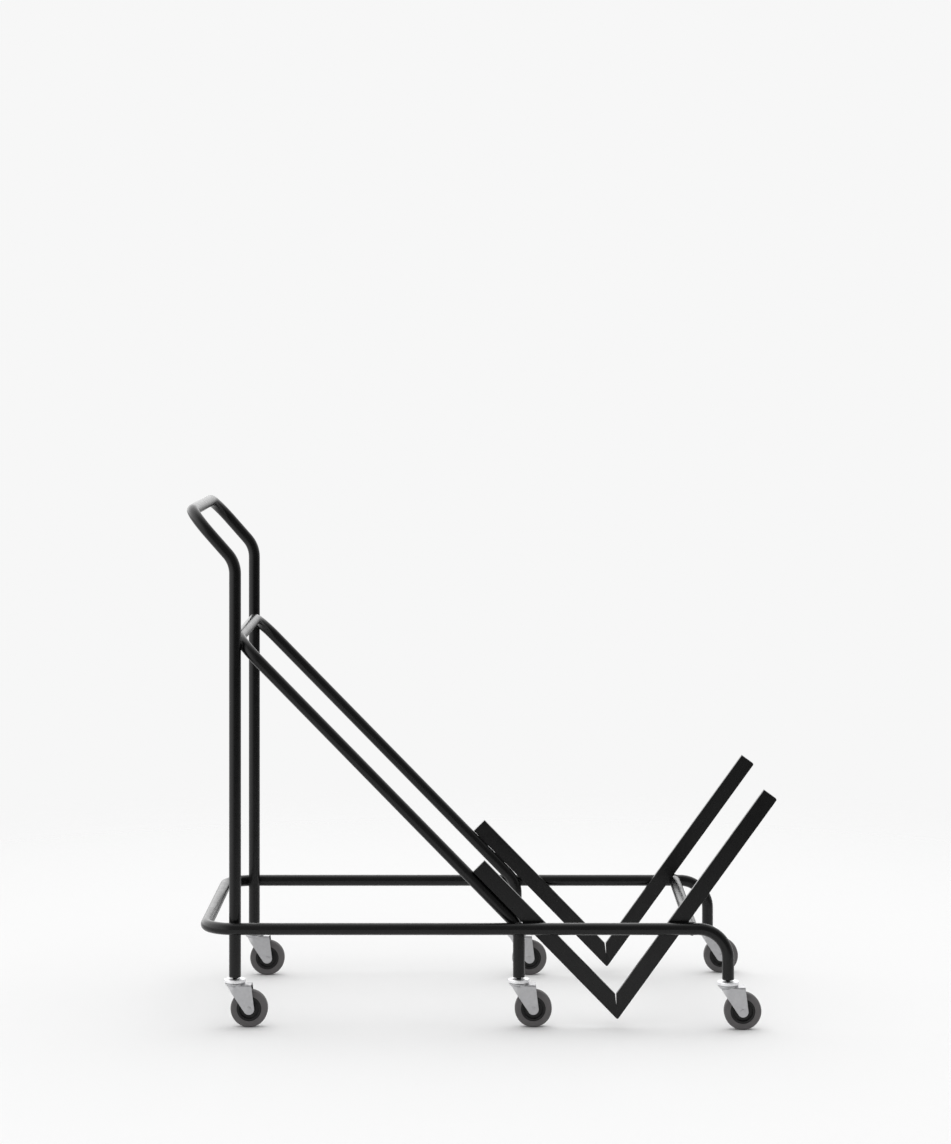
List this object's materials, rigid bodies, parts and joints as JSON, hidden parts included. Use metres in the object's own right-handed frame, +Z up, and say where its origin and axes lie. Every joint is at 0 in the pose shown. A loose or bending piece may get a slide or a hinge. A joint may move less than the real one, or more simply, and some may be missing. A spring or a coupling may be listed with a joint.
{
  "type": "stacking chair trolley",
  "caption": "Tubular steel trolley with a push handle, a sloping support hoop and V-shaped bar cradles that carry a leaning stack, on swivel castors.",
  "frame": {"origin": "on the floor under the middle of the trolley's box", "axes": "+X from the hand grip towards the cradles, +Y across the trolley, +Z up"},
  "size_m": [1.2404, 0.6188, 1.092],
  "materials": {
    "black_powder_coat": "fine satin powder coat",
    "black_plastic": "moulded, matt",
    "zinc_plate": "bright zinc plate, slightly dull",
    "chrome_plate": "bright plate",
    "steel": "ground, oiled",
    "black_hub": "moulded, satin",
    "grey_rubber": "matt"
  },
  "bodies": {
    "frame": {"base_rail": "black_powder_coat", "handle_hoop": "black_powder_coat", "lean_hoop": "black_powder_coat", "front_cross_tube": "black_powder_coat", "cradle_rear_bar_near": "black_powder_coat", "cradle_rear_bar_far": "black_powder_coat", "cradle_front_bar_near": "black_powder_coat", "cradle_front_bar_far": "black_powder_coat", "leg_inserts": "black_plastic", "castor_stems": "zinc_plate", "castor_collars": "chrome_plate"},
    "castor_rear_near": {"fork_rear_near": "zinc_plate", "axle_rivet_rear_near": "zinc_plate", "axle_sleeve_rear_near": "steel", "swivel_balls_rear_near": "steel"},
    "wheel_rear_near": {"hub_rear_near": "black_hub", "tyre_rear_near": "grey_rubber"},
    "castor_rear_far": {"fork_rear_far": "zinc_plate", "axle_rivet_rear_far": "zinc_plate", "axle_sleeve_rear_far": "steel", "swivel_balls_rear_far": "steel"},
    "wheel_rear_far": {"hub_rear_far": "black_hub", "tyre_rear_far": "grey_rubber"},
    "castor_mid_near": {"fork_mid_near": "zinc_plate", "axle_rivet_mid_near": "zinc_plate", "axle_sleeve_mid_near": "steel", "swivel_balls_mid_near": "steel"},
    "wheel_mid_near": {"hub_mid_near": "black_hub", "tyre_mid_near": "grey_rubber"},
    "castor_mid_far": {"fork_mid_far": "zinc_plate", "axle_rivet_mid_far": "zinc_plate", "axle_sleeve_mid_far": "steel", "swivel_balls_mid_far": "steel"},
    "wheel_mid_far": {"hub_mid_far": "black_hub", "tyre_mid_far": "grey_rubber"},
    "castor_front_near": {"fork_front_near": "zinc_plate", "axle_rivet_front_near": "zinc_plate", "axle_sleeve_front_near": "steel", "swivel_balls_front_near": "steel"},
    "wheel_front_near": {"hub_front_near": "black_hub", "tyre_front_near": "grey_rubber"},
    "castor_front_far": {"fork_front_far": "zinc_plate", "axle_rivet_front_far": "zinc_plate", "axle_sleeve_front_far": "steel", "swivel_balls_front_far": "steel"},
    "wheel_front_far": {"hub_front_far": "black_hub", "tyre_front_far": "grey_rubber"}
  },
  "joints": [
    {"name": "swivel_rear_near", "type": "hinge", "parent": "frame", "child": "castor_rear_near", "pos_m": [-0.5137, -0.2618, 0.0875], "axis": [0, 0, 1], "continuous": true},
    {"name": "roll_rear_near", "type": "hinge", "parent": "castor_rear_near", "child": "wheel_rear_near", "pos_m": [-0.4837, -0.2618, 0.039], "axis": [0, 1, 0], "continuous": true},
    {"name": "swivel_rear_far", "type": "hinge", "parent": "frame", "child": "castor_rear_far", "pos_m": [-0.5137, 0.2618, 0.0875], "axis": [0, 0, 1], "continuous": true},
    {"name": "roll_rear_far", "type": "hinge", "parent": "castor_rear_far", "child": "wheel_rear_far", "pos_m": [-0.4837, 0.2618, 0.039], "axis": [0, 1, 0], "continuous": true},
    {"name": "swivel_mid_near", "type": "hinge", "parent": "frame", "child": "castor_mid_near", "pos_m": [0.0813, -0.2618, 0.0875], "axis": [0, 0, 1], "continuous": true},
    {"name": "roll_mid_near", "type": "hinge", "parent": "castor_mid_near", "child": "wheel_mid_near", "pos_m": [0.1113, -0.2618, 0.039], "axis": [0, 1, 0], "continuous": true},
    {"name": "swivel_mid_far", "type": "hinge", "parent": "frame", "child": "castor_mid_far", "pos_m": [0.0813, 0.2618, 0.0875], "axis": [0, 0, 1], "continuous": true},
    {"name": "roll_mid_far", "type": "hinge", "parent": "castor_mid_far", "child": "wheel_mid_far", "pos_m": [0.1113, 0.2618, 0.039], "axis": [0, 1, 0], "continuous": true},
    {"name": "swivel_front_near", "type": "hinge", "parent": "frame", "child": "castor_front_near", "pos_m": [0.5178, -0.287, 0.0875], "axis": [0, 0, 1], "continuous": true},
    {"name": "roll_front_near", "type": "hinge", "parent": "castor_front_near", "child": "wheel_front_near", "pos_m": [0.5478, -0.287, 0.039], "axis": [0, 1, 0], "continuous": true},
    {"name": "swivel_front_far", "type": "hinge", "parent": "frame", "child": "castor_front_far", "pos_m": [0.5178, 0.287, 0.0875], "axis": [0, 0, 1], "continuous": true},
    {"name": "roll_front_far", "type": "hinge", "parent": "castor_front_far", "child": "wheel_front_far", "pos_m": [0.5478, 0.287, 0.039], "axis": [0, 1, 0], "continuous": true}
  ]
}
